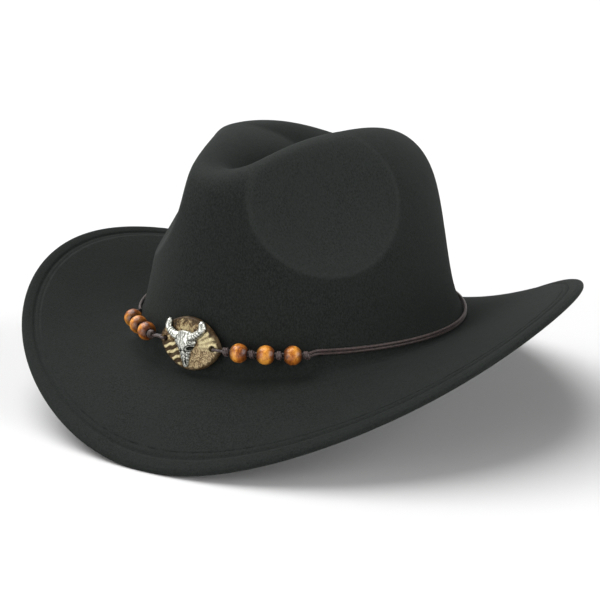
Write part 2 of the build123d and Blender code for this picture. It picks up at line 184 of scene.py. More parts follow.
def dent_inside(x, y, z):
    """How far inside a side dent's oval: 1 at its middle and 0 at its rim."""
    across = np.abs(x) * cos(DENT_TURN) + y * sin(DENT_TURN)
    reach_across = (across - DENT_ACROSS) / DENT_HALF_LENGTH
    reach_z = (z - DENT_CENTRE_Z) / DENT_HALF_HEIGHT
    return 1 - reach_across**2 - reach_z**2


def creased_crown(turn, climb):
    """The crown with its crease, before the side dents are pressed in."""
    turn, climb = np.broadcast_arrays(np.asarray(turn, float), np.asarray(climb, float))
    roll = pi / 2 * np.clip(climb, 0, 1) ** (SHOULDER / 2)
    level = np.sin(roll) ** (2 / SHOULDER)
    spread = np.cos(roll)
    x = (HALF_WIDTH - SIDE_LEAN * level) * spread * np.sin(turn)
    y = TOP_SHIFT * level - (HALF_LENGTH - END_LEAN * level) * spread * np.cos(turn)
    ahead = np.clip((1 - y / HALF_LENGTH) / 2, 0, 1.2)
    x = x * (1 - FRONT_PINCH * (level * ahead) ** 2)
    away = foot(turn)[1]
    spreading = flare(turn) * np.exp(-level * CROWN_MIDDLE / ROOT_FADE)
    x = x + away[0] * spreading
    y = y + away[1] * spreading
    z = break_height(turn) * (1 - level) + along(CROWN_TOPS, y) * level
    z = z - along(CREASE_DEPTHS, y) * np.exp(-((x / CREASE_WIDTH) ** 2)) * level**CREASE_FADE
    return x, y, z


def crown_point(turn, climb):
    """The crown's outer surface: climb is 0 at the break line and 1 at the middle of the top."""
    x, y, z = creased_crown(turn, climb)
    inside = dent_inside(x, y, z)
    dent = DENT_DEPTH * (inside + np.sqrt(inside**2 + DENT_RIM**2)) / 2
    side = np.tanh(x / DENT_SPREAD)
    x = x - side * sin(DENT_TURN) * dent
    y = y + np.abs(side) * cos(DENT_TURN) * dent
    return np.stack([x, y, z], -1)


def brim_point(turn, out):
    """The brim's upper surface: out is 0 at the break line and 1 at the edge."""
    turn, out = np.broadcast_arrays(np.asarray(turn, float), np.asarray(out, float))
    (x, y), away = foot(turn)
    reach = around(BRIM_WIDTHS, turn) * out + flare(turn)
    curl = around((CURL_ENDS, CURL_SIDES, CURL_ENDS), turn)
    z = break_height(turn) + around(RISES, turn) * np.maximum(out, 0) ** curl
    return np.stack([x + away[0] * reach, y + away[1] * reach, z], -1)


def normal(surface, turn, place):
    """Unit normal: out of the crown, or down out of the brim."""
    round_hat = surface(turn + STEP, place) - surface(turn - STEP, place)
    up_profile = surface(turn, place + STEP) - surface(turn, place - STEP)
    return unit(np.cross(round_hat, up_profile))


def crown_skin(turn, climb, depth):
    return crown_point(turn, climb) - np.asarray(depth)[..., None] * normal(crown_point, turn, climb)


def brim_skin(turn, out, depth):
    return brim_point(turn, out) + np.asarray(depth)[..., None] * normal(brim_point, turn, out)


def inboard(turn, distance):
    """The place on the brim at a distance inside its edge."""
    return 1 - distance / around(BRIM_WIDTHS, turn)


def fold_skin(turn, radius, angle):
    """Round the core of the folded edge: 0 degrees points out of the hat, 90 up."""
    place = inboard(turn, HEM_DEPTH / 2)
    down = normal(brim_point, turn, place)
    out = unit(brim_point(turn, place + STEP) - brim_point(turn, place - STEP))
    core = brim_point(turn, place) + HEM_DEPTH / 2 * down
    return core + radius * (cos(radians(angle)) * out - sin(radians(angle)) * down)


def wall_climb(height):
    """The climb at a height above the break line, low on the wall."""
    return height / CROWN_MIDDLE / (pi / 2) ** (2 / SHOULDER)


# ---- meshes


def add_mesh(name, points, faces, material, place=None):
    """A smooth-shaded mesh object from points in mm."""
    mesh = bpy.data.meshes.new(name)
    points = np.asarray(points, float) * MM
    mesh.from_pydata(points.tolist(), [], faces)
    mesh.validate()
    mesh.calc_loop_triangles()
    corners = np.zeros(3 * len(mesh.loop_triangles), np.int32)
    mesh.loop_triangles.foreach_get("vertices", corners)
    a, b, c = np.moveaxis(points[corners.reshape(-1, 3)], 1, 0)
    if np.sum(a * np.cross(b, c)) < 0:
        mesh.flip_normals()  # its faces were turned inwards
    mesh.polygons.foreach_set("use_smooth", np.ones(len(mesh.polygons), bool))
    mesh.materials.append(material)
    made = bpy.data.objects.new(name, mesh)
    bpy.context.scene.collection.objects.link(made)
    if place is not None:
        made.matrix_world = place
    return made


def store(made, name, values):
    """Keeps a value or a vector for each point of a mesh, for its material."""
    values = np.asarray(values, np.float32)
    kind = "FLOAT_VECTOR" if values.ndim == 2 else "FLOAT"
    layer = made.data.attributes.new(name, kind, "POINT")
    layer.data.foreach_set("vector" if values.ndim == 2 else "value", values.ravel())


def grid_faces(rows, columns, close_rows, first):
    """Quads of a grid of points, row by row, each row a closed ring."""
    row = np.arange(rows if close_rows else rows - 1)
    here, there = np.meshgrid(row, np.arange(columns), indexing="ij")
    row_after, column_after = (here + 1) % rows, (there + 1) % columns
    corners = [here * columns + there, here * columns + column_after]
    corners += [row_after * columns + column_after, row_after * columns + there]
    return (np.stack(corners, -1).reshape(-1, 4) + first).tolist()


def fan_faces(row, tip, columns, outward):
    """Triangles from a ring of points to one tip."""
    around_row = [(row + i, row + (i + 1) % columns) for i in range(columns)]
    return [(b, a, tip) if outward else (a, b, tip) for a, b in around_row]


def skin(rings, tips=(None, None), close_rows=False, first=0):
    """Points and faces through rings, closed by a tip at either end where one is given."""
    rows, columns = len(rings), len(rings[0])
    points = np.concatenate([np.asarray(ring) for ring in rings])
    faces = grid_faces(rows, columns, close_rows, first)
    for row, tip, outward in ((0, tips[0], True), (rows - 1, tips[1], False)):
        if tip is not None:
            points = np.concatenate([points, [tip]])
            faces += fan_faces(first + row * columns, first + len(points) - 1, columns, outward)
    return points, faces


def joined(tubes, capped):
    """Points and faces of several tubes, each closed at its ends where it is capped."""
    points, faces, used = [], [], 0
    for rings in tubes:
        tips = (rings[0].mean(0), rings[-1].mean(0)) if capped else (None, None)
        tube, tube_faces = skin(rings, tips, first=used)
        points.append(tube)
        faces += tube_faces
        used += len(tube)
    return np.concatenate(points), faces


def loft_object(name, rings, material, tips=(None, None), close_rows=False):
    return add_mesh(name, *skin(rings, tips, close_rows), material)


def slab(front, count):
    """Faces of a closed slab: its front, the same turned round behind it, and a wall between."""
    edges = dict.fromkeys(edge for face in front for edge in zip(face, (*face[1:], face[0])))
    back = [tuple(corner + count for corner in reversed(face)) for face in front]
    wall = [(b, a, a + count, b + count) for a, b in edges if (b, a) not in edges]
    return [*front, *back, *wall]


def lengths_along(line):
    """Distance from the start of a line to each of its points."""
    return np.concatenate([[0], np.cumsum(np.linalg.norm(np.diff(line, axis=0), axis=1))])


def frames_along(points):
    """Directions along a line of points and two steady directions across it."""
    tangents = unit(np.gradient(points, axis=0))
    side = np.cross(tangents[0], (0, 0, 1.0))
    if np.linalg.norm(side) < 0.1:
        side = np.cross(tangents[0], (1.0, 0, 0))
    sides = []
    for tangent in tangents:
        side = side - np.dot(side, tangent) * tangent
        side = side / np.linalg.norm(side)
        sides.append(side)
    sides = np.array(sides)
    return tangents, sides, np.cross(tangents, sides)


def tube_rings(points, radius, segments, plies=0, ply_pitch=3.6, ply_depth=0.1):
    """Rings of a tube along a line, with the grooves of twisted plies."""
    points = np.asarray(points, float)
    tangents, sides, ups = frames_along(points)
    run = lengths_along(points)
    angles = np.linspace(0, 2 * pi, segments, endpoint=False)
    radii = np.broadcast_to(np.asarray(radius, float), (len(points),))[:, None]
    radii = radii * np.ones(segments)
    if plies:
        phase = plies * (angles[None, :] - 2 * pi * run[:, None] / ply_pitch)
        radii = radii * (1 - ply_depth + ply_depth * np.abs(np.cos(phase / 2)) ** 0.7)
    across = np.cos(angles)[None, :, None] * sides[:, None, :]
    across = across + np.sin(angles)[None, :, None] * ups[:, None, :]
    return points[:, None, :] + radii[:, :, None] * across


def smooth_line(points, spacing):
    """Points at an even spacing along a smooth curve through the given points."""
    points = np.asarray([tuple(p) for p in points], float)
    padded = np.vstack([2 * points[0] - points[1], points, 2 * points[-1] - points[-2]])
    line = []
    for before, start, stop, after in zip(padded, padded[1:], padded[2:], padded[3:]):
        share = np.linspace(0, 1, 24, endpoint=False)[:, None]
        pull_start, pull_stop = (stop - before) / 2, (after - start) / 2
        line.append(
            (2 * share**3 - 3 * share**2 + 1) * start
            + (share**3 - 2 * share**2 + share) * pull_start
            + (3 * share**2 - 2 * share**3) * stop
            + (share**3 - share**2) * pull_stop
        )
    line = np.vstack([*line, points[-1:]])
    run = lengths_along(line)
    at = np.linspace(0, run[-1], max(int(run[-1] / spacing), 8))
    return np.stack([np.interp(at, run, line[:, axis]) for axis in range(3)], -1)


# ---- materials


class Nodes:
    """Short ways to add nodes to a new material."""

    def __init__(self, name):
        self.material = bpy.data.materials.new(name)
        self.material.use_nodes = True
        self.tree = self.material.node_tree
        self.shader = self.tree.nodes["Principled BSDF"]

    def add(self, kind, inputs=None, **settings):
        node = self.tree.nodes.new(kind)
        for key, value in settings.items():
            setattr(node, key, value)
        for key, value in (inputs or {}).items():
            self.put(value, node.inputs[key])
        return node

    def put(self, value, socket):
        if isinstance(value, bpy.types.NodeSocket):
            self.tree.links.new(value, socket)
        else:
            socket.default_value = value

    def set(self, **values):
        for key, value in values.items():
            self.put(value, self.shader.inputs[key.replace("_", " ")])

    def coordinates(self):
        return self.add("ShaderNodeTexCoord").outputs["Object"]

    def attribute(self, name, output="Fac"):
        node = self.add("ShaderNodeAttribute", attribute_name=name)
        return node.outputs[output]

    def scaled(self, vector, scale):
        node = self.add("ShaderNodeMapping", {"Vector": vector})
        node.inputs["Scale"].default_value = scale
        return node.outputs["Vector"]

    def noise(self, vector, scale, detail=2.0, roughness=0.5, distortion=0.0):
        inputs = {"Vector": vector, "Scale": scale, "Detail": detail}
        inputs.update({"Roughness": roughness, "Distortion": distortion})
        return self.add("ShaderNodeTexNoise", inputs).outputs["Fac"]

    def ramp(self, factor, *stops):
        """A colour ramp through (place, colour) stops."""
        node = self.add("ShaderNodeValToRGB", {"Fac": factor})
        elements = node.color_ramp.elements
        while len(elements) < len(stops):
            elements.new(0.5)
        for element, (place, colour) in zip(elements, stops):
            element.position = place
            grey = isinstance(colour, (int, float))
            element.color = (colour, colour, colour, 1) if grey else (*colour, 1)
        return node.outputs["Color"]

    def mix(self, factor, first, second):
        node = self.add("ShaderNodeMix", data_type="RGBA")
        self.put(factor, node.inputs[0])
        for value, socket in ((first, node.inputs[6]), (second, node.inputs[7])):
            self.put((*value, 1) if isinstance(value, tuple) else value, socket)
        return node.outputs[2]

    def math(self, operation, first, second=0.0):
        node = self.add("ShaderNodeMath", operation=operation)
        self.put(first, node.inputs[0])
        self.put(second, node.inputs[1])
        return node.outputs[0]

    def bump(self, height, distance, strength=1.0, after=None):
        inputs = {"Height": height, "Distance": distance, "Strength": strength}
        if after is not None:
            inputs["Normal"] = after
        return self.add("ShaderNodeBump", inputs).outputs["Normal"]


def felt_material():
    """Dark, soft wool felt: grainy and slightly uneven, with a painted highlight that makes it paler in the
    crown's dents, round their rims and on its ridges.
    """
    n = Nodes("felt")
    place = n.coordinates()
    grain = n.noise(n.scaled(place, (1, 1, 0.6)), 1300, 3, 0.65)
    cloud = n.noise(place, 55, 4, 0.6)
    colour = n.ramp(grain, (0.33, (0.0062, 0.0078, 0.0068)), (0.68, (0.0200, 0.0232, 0.0208)))
    colour = n.mix(n.ramp(cloud, (0.35, 0.0), (0.7, 0.45)), colour, (0.0150, 0.0178, 0.0158))
    # painted highlight: paler felt in the dents, round their rims and on the ridges of the crown
    painted_highlight_amount = n.math("MULTIPLY", n.attribute("painted_highlight"), n.ramp(grain, (0.3, 0.55), (0.7, 1.0)))
    colour = n.mix(painted_highlight_amount, colour, (0.0330, 0.0375, 0.0340))
    fibre = n.noise(n.scaled(place, (1, 1, 3.5)), 1500, 3, 0.65, 1.5)
    nap = n.noise(place, 420, 3, 0.6)
    lumps = n.noise(place, 130, 2, 0.5)
    surface = n.bump(lumps, 0.0006, 0.35)
    surface = n.bump(nap, 0.0003, 0.5, surface)
    surface = n.bump(fibre, 0.0002, 0.6, surface)
    n.set(Base_Color=colour, Roughness=0.95, Normal=surface, Specular_IOR_Level=0.15)
    n.set(Sheen_Weight=0.02, Sheen_Roughness=0.5, Sheen_Tint=(0.62, 0.68, 0.65, 1))
    return n.material


def cord_material():
    """Dark brown waxed cotton with a soft shine."""
    n = Nodes("cord")
    place = n.coordinates()
    tone = n.noise(place, 700, 3, 0.6)
    colour = n.ramp(tone, (0.3, (0.020, 0.012, 0.011)), (0.75, (0.085, 0.054, 0.050)))
    fibre = n.noise(place, 3500, 2, 0.6)
    n.set(Base_Color=colour, Roughness=0.42, Specular_IOR_Level=0.5)
    n.set(Normal=n.bump(fibre, 0.0001, 0.5), Sheen_Weight=0.15, Sheen_Roughness=0.4)
    return n.material


def bead_material():
    """Polished amber-brown wood: fine streaks, darker clouds and dark round the bore."""
    n = Nodes("bead_wood")
    grain = n.attribute("grain", "Vector")
    streak = n.noise(n.scaled(grain, (1, 0.25, 1)), 900, 4, 0.6, 0.8)
    cloud = n.noise(grain, 170, 2, 0.5, 0.6)
    tone = n.mix(0.62, streak, cloud)
    colour = n.ramp(
        tone,
        (0.36, (0.120, 0.026, 0.004)),
        (0.48, (0.420, 0.125, 0.014)),
        (0.60, (0.780, 0.330, 0.045)),
    )
    dark = n.ramp(n.attribute("end"), (0.0, 0.0), (0.55, 0.65), (1.0, 0.97))
    colour = n.mix(dark, colour, (0.050, 0.011, 0.002))
    n.set(Base_Color=colour, Roughness=0.38, Specular_IOR_Level=0.35)
    n.set(Coat_Weight=0.3, Coat_Roughness=0.12)
    n.set(Normal=n.bump(streak, 0.00005, 0.3))
    return n.material


def shell_material():
    """Mottled brown and cream shell: streaked, speckled and darker where it is carved, with painted shade
    round its cord holes.
    """
    n = Nodes("shell")
    place = n.coordinates()
    spots = n.noise(place, 200, 5, 0.65, 1.2)
    fine = n.noise(place, 1500, 3, 0.6)
    mottle = n.ramp(
        n.mix(0.16, spots, fine),
        (0.40, (0.006, 0.004, 0.002)),
        (0.47, (0.080, 0.045, 0.012)),
        (0.53, (0.205, 0.135, 0.062)),
        (0.60, (0.460, 0.370, 0.190)),
    )
    speckle = n.ramp(
        n.mix(0.4, fine, spots),
        (0.40, (0.040, 0.022, 0.009)),
        (0.50, (0.230, 0.150, 0.070)),
        (0.60, (0.600, 0.480, 0.270)),
    )
    cream = n.ramp(n.mix(0.4, fine, spots), (0.36, (0.30, 0.21, 0.09)), (0.54, (0.76, 0.66, 0.38)))
    colour = n.mix(n.attribute("speckled"), mottle, speckle)
    colour = n.mix(n.attribute("cream"), colour, cream)
    colour = n.mix(n.attribute("carved"), colour, (0.034, 0.017, 0.004))
    gloss = n.ramp(n.attribute("carved"), (0.2, 0.42), (0.8, 0.62))
    n.set(Base_Color=colour, Roughness=gloss, Specular_IOR_Level=0.22)
    n.set(Coat_Weight=0.06, Coat_Roughness=0.25)
    n.set(Normal=n.bump(n.mix(0.5, spots, fine), 0.00015, 0.6))
    return n.material


def silver_material():
    """Antique silver: bright where it is rubbed, black in its lines."""
    n = Nodes("silver")
    place = n.coordinates()
    wear = n.noise(place, 900, 3, 0.6)
    bright = n.ramp(wear, (0.35, (0.28, 0.29, 0.25)), (0.5, (0.62, 0.63, 0.57)), (0.63, (0.84, 0.84, 0.78)))
    dark = n.ramp(n.attribute("carved"), (0.2, 0.0), (0.7, 1.0))
    n.set(Base_Color=n.mix(dark, bright, (0.030, 0.032, 0.026)), Metallic=1.0)
    n.set(Roughness=n.ramp(wear, (0.35, 0.5), (0.65, 0.34)))
    n.set(Normal=n.bump(wear, 0.00005, 0.4))
    return n.material


def sweatband_material():
    """Black ribbed band."""
    n = Nodes("sweatband")
    place = n.coordinates()
    rib = n.add("ShaderNodeTexWave", {"Vector": place, "Scale": 320.0, "Distortion": 0.4})
    rib.bands_direction = "Z"
    tone = n.noise(place, 500, 2)
    n.set(Base_Color=n.ramp(tone, (0.3, (0.010, 0.010, 0.011)), (0.7, (0.020, 0.020, 0.021))))
    n.set(Roughness=0.7, Normal=n.bump(rib.outputs["Fac"], 0.0002, 0.5), Sheen_Weight=0.3)
    return n.material


def thread_material():
    n = Nodes("thread")
    tone = n.noise(n.coordinates(), 2500, 2)
    n.set(Base_Color=n.ramp(tone, (0.3, (0.013, 0.015, 0.014)), (0.7, (0.024, 0.027, 0.025))))
    n.set(Roughness=0.85, Specular_IOR_Level=0.1)
    return n.material


def wire_material():
    n = Nodes("wire")
    tone = n.noise(n.scaled(n.coordinates(), (1, 1, 0.1)), 2000, 2)
    n.set(Base_Color=n.ramp(tone, (0.3, (0.50, 0.50, 0.51)), (0.7, (0.62, 0.62, 0.63))))
    n.set(Metallic=1.0, Roughness=0.35)
    return n.material


CORD_LOOK = cord_material()
BEAD_LOOK = bead_material()
SWEATBAND_LOOK = sweatband_material()
THREAD_LOOK = thread_material()


# ---- felt body and its hem

COLUMNS = 480
TURNS = np.linspace(0, 2 * pi, COLUMNS, endpoint=False)
BREAK_ROUND = 2.2  # how far the rounding of the break line reaches each way
GROOVE_DEPTH = 0.5
GROOVE_WIDTH = 0.9
HEM_PUFF = 0.35
HEM_MARGIN = 3  # the fine rings start this far inside the hem
CROWN_SHOULDER = 0.8  # climbs above this one are closer together
CROWN_STOP = 0.9985  # the last climb before the tip of the crown
STITCH = 3.2
STITCH_THICKNESS = 0.36
STITCH_LIFT = 0.08
UNDER_STITCH_INSET = 1.2


def hem_relief(distance):
    """How far the felt stands up near the edge: the sewn groove and the puffed hem."""
    groove = -GROOVE_DEPTH * np.exp(-(((distance - HEM) / GROOVE_WIDTH) ** 2))
    inside_hem = 1 / (1 + np.exp((distance - HEM) / 0.5))
    at_edge = np.clip(distance / (HEM_DEPTH / 2), 0, 1)
    return groove + HEM_PUFF * inside_hem * np.sin(pi * np.clip(distance / HEM, 0, 1)) * at_edge


def corner(before, middle, after, count=9):
    """Rings round the break line's corner, from one ring to the next."""
    rings = []
    for share in np.linspace(0, 1, count + 2)[1:-1]:
        rings.append((1 - share) ** 2 * before + 2 * share * (1 - share) * middle + share**2 * after)
    return rings


def crown_climbs():
    """Climbs of the crown's outer rings, from its top down to the break line."""
    wall = np.linspace(CROWN_SHOULDER, wall_climb(BREAK_ROUND), 95)
    return np.concatenate([np.linspace(CROWN_STOP, CROWN_SHOULDER, 70), wall[1:]])


def painted_highlight_share(climbs):
    """Painted highlight on the crown's felt, where it catches the light: in and round its dents and on its
    ridges.
    """
    rings = np.array([crown_point(TURNS, climb) for climb in climbs])
    inside = dent_inside(*creased_crown(TURNS, climbs[:, None]))
    # painted highlight in the dents and round their rims, then on the ridges where the felt bends outwards
    dent = 0.34 * smooth_step(-0.06, 0.12, inside)
    rim = 0.34 * np.exp(-(((inside - 0.03) / 0.11) ** 2))
    bend = np.zeros(inside.shape)
    out = normal(crown_point, TURNS, climbs[:, None])
    for axis in (0, 1):
        before, after = np.roll(rings, 1, axis), np.roll(rings, -1, axis)
        spans = np.linalg.norm(rings - before, axis=-1) * np.linalg.norm(after - rings, axis=-1)
        bend += np.sum((2 * rings - before - after) * out, -1) / np.maximum(spans, 1e-6)
    ridge = 0.5 * smooth_step(0.035, 0.11, bend)
    ridge[0] = ridge[-1] = 0
    fade = smooth_step(0.02, 0.10, climbs)[:, None]
    return np.clip(np.maximum(np.maximum(dent, rim), ridge) * fade, 0, 1)


def felt_rings():
    """Rings down the outside of the crown, over the brim, round its edge and back up inside."""
    low = wall_climb(BREAK_ROUND)
    climbs = crown_climbs()
    outside = [crown_skin(TURNS, climb, 0.0) for climb in climbs]
    start = BREAK_ROUND / around(BRIM_WIDTHS, TURNS)
    outside += corner(outside[-1], brim_point(TURNS, 0.0), brim_point(TURNS, start))
    stop = inboard(TURNS, HEM + HEM_MARGIN)
    outside += [brim_point(TURNS, start + (stop - start) * s) for s in np.linspace(0, 1, 45)]
    for distance in np.arange(HEM + HEM_MARGIN, HEM_DEPTH / 2, -0.35):
        outside.append(brim_skin(TURNS, inboard(TURNS, distance), -hem_relief(distance)))
    fold = [fold_skin(TURNS, HEM_DEPTH / 2, angle) for angle in np.linspace(90, -90, 13)]
    under = []
    for distance in np.arange(HEM_DEPTH / 2 + 0.4, HEM, 0.4):
        under.append(brim_skin(TURNS, inboard(TURNS, distance), HEM_DEPTH + hem_relief(distance)))
    for share in np.linspace(0, 1, 6):
        depth = HEM_DEPTH - (HEM_DEPTH - FELT) * share**0.7
        under.append(brim_skin(TURNS, inboard(TURNS, HEM + 0.5 * share), depth))
    low_out = (BREAK_ROUND + 1) / around(BRIM_WIDTHS, TURNS)
    stop = inboard(TURNS, HEM + 1)
    under += [brim_skin(TURNS, stop + (low_out - stop) * s, FELT) for s in np.linspace(0, 1, 40)]
    inner = [crown_skin(TURNS, climb, FELT) for climb in np.linspace(low, CROWN_SHOULDER, 60)]
    inner += [crown_skin(TURNS, climb, FELT) for climb in np.linspace(CROWN_SHOULDER, CROWN_STOP, 50)[1:]]
    wall = normal(crown_point, TURNS, 0.02)
    middle = unit(wall - normal(brim_point, TURNS, 0.02))
    miter = FELT / np.sum(wall * middle, -1, keepdims=True)
    turned = corner(under[-1], brim_point(TURNS, 0.0) - miter * middle, inner[0])
    return [*outside, *fold, *under, *turned, *inner]


def felt_body():
    rings = felt_rings()
    for points in rings:
        points[:, 2] = np.maximum(points[:, 2], cad_low.z / MM)  # the flats it stands on
    top = crown_point(0.0, 1.0)
    made = loft_object("hat_felt", rings, felt_material(), tips=(top, top - (0, 0, FELT)))
    # painted highlight for each point of the crown's outer rings, none on the rest of the felt
    painted_highlight = painted_highlight_share(crown_climbs()).ravel()
    rest = len(made.data.vertices) - len(painted_highlight)
    store(made, "painted_highlight", np.concatenate([painted_highlight, np.zeros(rest)]))
    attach(made, "hat")
    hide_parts("felt_body")


def brim_wire():
    """The spring steel loop in the folded edge."""
    rings = [fold_skin(TURNS, WIRE / 2, angle) for angle in np.arange(0, 360, 36)]
    made = loft_object("hem_wire", rings, wire_material(), close_rows=True)
    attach(made, "hat")
    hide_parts("brim_wire")


def stitch_rings(start, stop, lift):
    """Rings of one small stitch between two points, arched by a lift."""
    line = np.linspace(0, 1, 5)[:, None]
    points = start + (stop - start) * line + lift * np.sin(pi * line)
    return tube_rings(points, STITCH_THICKNESS / 2 * np.array([0.35, 1, 1, 1, 0.35]), 6)


def hem_stitches():
    """A row of stitches in the groove above the brim and one on the hem below it."""
    fine = np.linspace(0, 2 * pi, 7201)
    down = normal(brim_point, fine, inboard(fine, HEM))
    for name, depth, inset, side in (
        ("hem_stitches_top", GROOVE_DEPTH, HEM, -1),
        ("hem_stitches_under", HEM_DEPTH, HEM - UNDER_STITCH_INSET, 1),
    ):
        line = brim_skin(fine, inboard(fine, inset), depth)
        run = lengths_along(line)
        count = int(run[-1] / STITCH)
        stitches = []
        for index in range(count):
            ends = np.array([index + 0.1, index + 0.9]) * run[-1] / count
            at = [np.array([np.interp(end, run, line[:, axis]) for axis in range(3)]) for end in ends]
            lift = side * STITCH_LIFT * down[int(np.searchsorted(run, ends[0])) % len(down)]
            stitches.append(stitch_rings(at[0], at[1], lift))
        made = add_mesh(name, *joined(stitches, capped=False), THREAD_LOOK)
        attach(made, "hat")


# ---- sweatband


def sweatband():
    """The band inside the opening that sits on the head."""
    heights = np.linspace(0, SWEATBAND_HEIGHT, 16) + SWEATBAND_LIFT
    climbs = [wall_climb(height) for height in heights]
    outer = FELT + SWEATBAND_GAP
    rings = [crown_skin(TURNS, climb, outer) for climb in climbs]
    rings += [crown_skin(TURNS, climb, outer + SWEATBAND) for climb in reversed(climbs)]
    made = loft_object("sweatband_lining", rings, SWEATBAND_LOOK, close_rows=True)
    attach(made, "hat")
    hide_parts("sweatband")


# ---- hatband


def band_level(x, y):
    return BAND_HEIGHT - tan(radians(BAND_PITCH)) * y - tan(radians(BAND_ROLL)) * x


def wall_point(turn, stand):
    """The point of the band's plane that stands off the crown's wall at the lower strand."""
    climb = np.full(np.shape(turn), wall_climb(BAND_HEIGHT))
    for _ in range(12):
        point = crown_point(turn, climb)
        short = band_level(point[..., 0], point[..., 1]) - STRAND_PITCH / 2 - point[..., 2]
        climb = climb + wall_climb(short)
    away = np.stack([*foot(turn)[1], np.zeros(np.shape(turn))], -1)
    point = point + stand * away
    point[..., 2] = band_level(point[..., 0], point[..., 1])
    return point


BEAD_STAND = BEAD / 2 + CORD_GAP
BAND_TURNS = np.linspace(-1.5 * pi, 1.5 * pi, 721)
BAND_LINE = wall_point(BAND_TURNS, BEAD_STAND)
BAND_LENGTHS = lengths_along(BAND_LINE)
BAND_LENGTHS = BAND_LENGTHS - np.interp(0, BAND_TURNS, BAND_LENGTHS)
LOOP_LENGTH = np.interp(pi, BAND_TURNS, BAND_LENGTHS) * 2
BORED_HALF_LENGTH = sqrt((BEAD / 2) ** 2 - (BEAD_BORE / 2) ** 2)
KNOT_PITCH = KNOT_LENGTH + 2 * BEAD_PLAY + 2 * BORED_HALF_LENGTH
STRAND_TOUCH = STRAND / 2 + 0.25  # the strands lie against the wall here


def band_turn(reach):
    return np.interp(reach + BAND_SHIFT, BAND_LENGTHS, BAND_TURNS)


def band_point(reach, stand):
    return wall_point(band_turn(reach), stand)


def joint(name):
    """Place, in mm, and axis of a joint."""
    found = next(j for j in frame["joints"] if j["name"] == name)
    return Vector(found["pos_m"]) / MM, Vector(found["axis"]).normalized()


def frame_matrix(middle, x_dir, z_dir):
    """Object placement from a middle in mm and two directions."""
    z = Vector(z_dir).normalized()
    x = (Vector(x_dir) - Vector(x_dir).dot(z) * z).normalized()
    turned = Matrix((x, z.cross(x), z)).transposed().to_4x4()
    return Matrix.Translation(Vector(middle) * MM) @ turned


def medallion_frame():
    """Middle of the medallion's back, X along the band and Z out of the hat."""
    middle, x_dir = joint("medallion_rock")
    turn = np.array(float(band_turn(0)))
    climb = wall_climb(BAND_HEIGHT - break_height(turn)) + 0.1
    out = Vector(normal(crown_point, turn, climb))
    out = (out - out.dot(x_dir) * x_dir).normalized()
    return frame_matrix(middle - out * MEDALLION_THICKNESS / 2, x_dir, out)


MEDALLION_FRAME = medallion_frame()


def knot_centres(side):
    """Middles of the four knots beside and between the three beads."""
    word = SIDES[side]
    beads = [joint(f"{word}_bead_{i + 1}_spin") for i in range(3)]
    half = KNOT_PITCH / 2
    centres = [beads[0][0] - beads[0][1] * half]
    centres += [middle + axis * half for middle, axis in beads]
    return [np.array(centre) for centre in centres]


def knot_rings(middle, direction, wraps, phase):
    """A strand wound round the cord: a short coil whose ends dive to its middle."""
    axis = unit(np.array(direction, float))
    side = unit(np.cross(axis, (0.2, 0.1, 1.0)))
    up = np.cross(axis, side)
    share = np.linspace(0, 1, int(34 * wraps))
    swell = np.clip(np.minimum(share, 1 - share) * wraps * 2.2, 0, 1) ** 0.6
    radius = KNOT_CORE + KNOT_SWELL * swell
    angle = 2 * pi * wraps * share + phase
    place = (share - 0.5) * (KNOT_LENGTH - 1.3)
    lean = KNOT_LEAN * np.sin(angle)
    points = middle + (place + lean)[:, None] * axis
    points = points + radius[:, None] * (np.cos(angle)[:, None] * side + np.sin(angle)[:, None] * up)
    return tube_rings(points, STRAND / 2 * 0.94, 12)


def cord_object(name, tubes):
    made = add_mesh(name, *joined(tubes, capped=True), CORD_LOOK)
    return made


def hatband_cord(side):
    """One doubled cord: loop through the medallion, knots between beads and two strands."""
    word = SIDES[side]
    knots = knot_centres(side)
    start = FIRST_KNOT[side] + 3 * KNOT_PITCH
    stop = LOOP_LENGTH / 2 - REAR_KNOT_LENGTH / 2
    reaches = np.arange(start + 7, stop - 4, 6.0)
    rest = [band_point(side * reach, STRAND_TOUCH) for reach in reaches]
    rear = band_point(side * stop, 2.2)
    rise = np.array([0, 0, STRAND_PITCH / 2])
    tubes = []
    for sign in (1, -1):
        run = [knots[3] + sign * rise * 0.9]
        run += [point + sign * rise for point in rest]
        run += [rear + sign * rise * 0.6]
        line = smooth_line(run, 0.35)
        tubes.append(tube_rings(line, STRAND / 2, 14, plies=3))
        inner = smooth_line([knot + sign * rise * 0.9 for knot in knots], 0.5)
        tubes.append(tube_rings(inner, STRAND / 2, 10))
    for index, knot in enumerate(knots):
        before, after = knots[max(index - 1, 0)], knots[min(index + 1, 3)]
        wraps = 3.1 if index == 0 else 2.6
        phase = 1.7 * index + (0.5 if side > 0 else 2.0)
        tubes.append(knot_rings(knot, after - before, wraps, phase))
    tubes.append(tube_rings(loop_line(side, knots[0]), STRAND / 2, 12, plies=3))
    made = cord_object(f"{word}_waxed_cord", tubes)
    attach(made, "hatband")
    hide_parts(f"{word}_cord")


def dome(x, y=0.0):
    """Height of the medallion's domed front above its back."""
    return MEDALLION_THICKNESS - DOME_RADIUS + np.sqrt(DOME_RADIUS**2 - x**2 - y**2)


